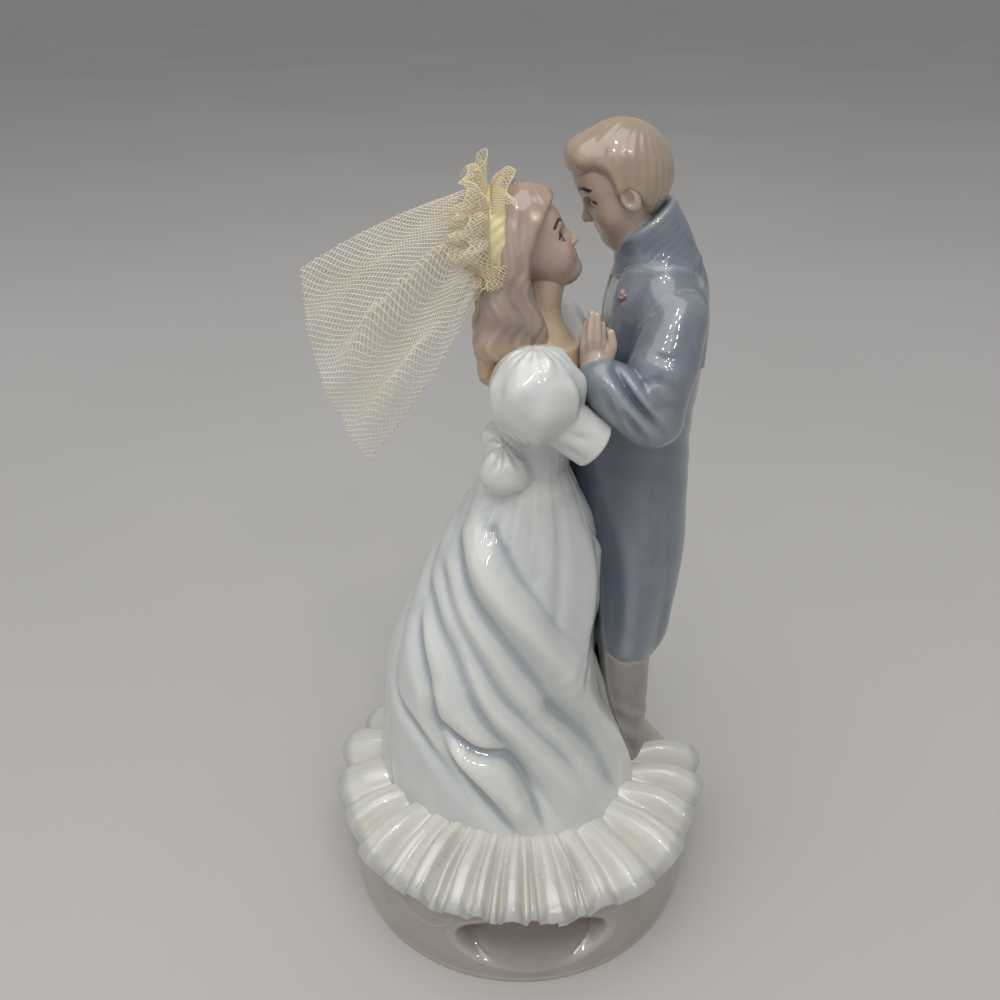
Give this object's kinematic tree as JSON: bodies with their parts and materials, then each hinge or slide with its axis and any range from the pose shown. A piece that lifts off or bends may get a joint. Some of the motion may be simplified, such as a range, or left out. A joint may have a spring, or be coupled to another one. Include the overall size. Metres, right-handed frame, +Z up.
{
  "type": "wedding cake topper",
  "caption": "Glossy porcelain bride and groom on a round hollow plinth with a pleated hem, a lace headpiece and a gathered net veil that lifts; stands on a cake.",
  "frame": {"origin": "centre of the plinth's underside, on the surface that the topper stands on", "axes": "+Z up; the bride faces +X and the groom -X; the side seen in the picture is -Y"},
  "size_m": [0.1054, 0.1058, 0.2086],
  "materials": {
    "plinth_glaze": "gloss beige glaze",
    "white_glaze": "gloss white glaze with blue-grey shading",
    "skin_glaze": "gloss pale pink-beige glaze",
    "brown_hair_glaze": "gloss rose-brown glaze",
    "blond_hair_glaze": "gloss golden glaze",
    "coat_glaze": "gloss blue-grey glaze",
    "trouser_glaze": "gloss grey glaze",
    "shoe_glaze": "gloss tan glaze",
    "rose_glaze": "gloss pink glaze",
    "satin": "yellowed satin",
    "lace": "cream gathered lace",
    "net": "cream net"
  },
  "bodies": {
    "figurine": {"base_plinth": "plinth_glaze", "gown_skirt": "white_glaze", "gown_bodice": "white_glaze", "hem_flounce_right": "white_glaze", "hem_flounce_left": "white_glaze", "bow_knot": "white_glaze", "bow_loop_right": "white_glaze", "bow_loop_left": "white_glaze", "bride_right_puff": "white_glaze", "bride_left_puff": "white_glaze", "bride_right_sleeve": "white_glaze", "bride_left_sleeve": "white_glaze", "groom_shirt_front": "white_glaze", "bride_head": "skin_glaze", "bride_bust": "skin_glaze", "bride_right_hand": "skin_glaze", "bride_left_hand": "skin_glaze", "groom_head": "skin_glaze", "groom_left_hand": "skin_glaze", "groom_right_hand": "skin_glaze", "groom_coat": "coat_glaze", "groom_collar": "coat_glaze", "groom_left_sleeve": "coat_glaze", "groom_right_sleeve": "coat_glaze", "bride_hair": "brown_hair_glaze", "groom_hair": "blond_hair_glaze", "groom_left_leg": "trouser_glaze", "groom_right_leg": "trouser_glaze", "groom_left_shoe": "shoe_glaze", "groom_right_shoe": "shoe_glaze", "groom_boutonniere": "rose_glaze", "headpiece_band": "satin", "headpiece_lace_top": "lace", "headpiece_lace_right": "lace", "headpiece_lace_left": "lace"},
    "veil": {"veil": "net"}
  },
  "joints": [
    {"name": "veil_lift", "type": "hinge", "parent": "figurine", "child": "veil", "pos_m": [-0.0075, -0.001, 0.1966], "axis": [0, 1, 0], "range_deg": [0, 40]}
  ]
}
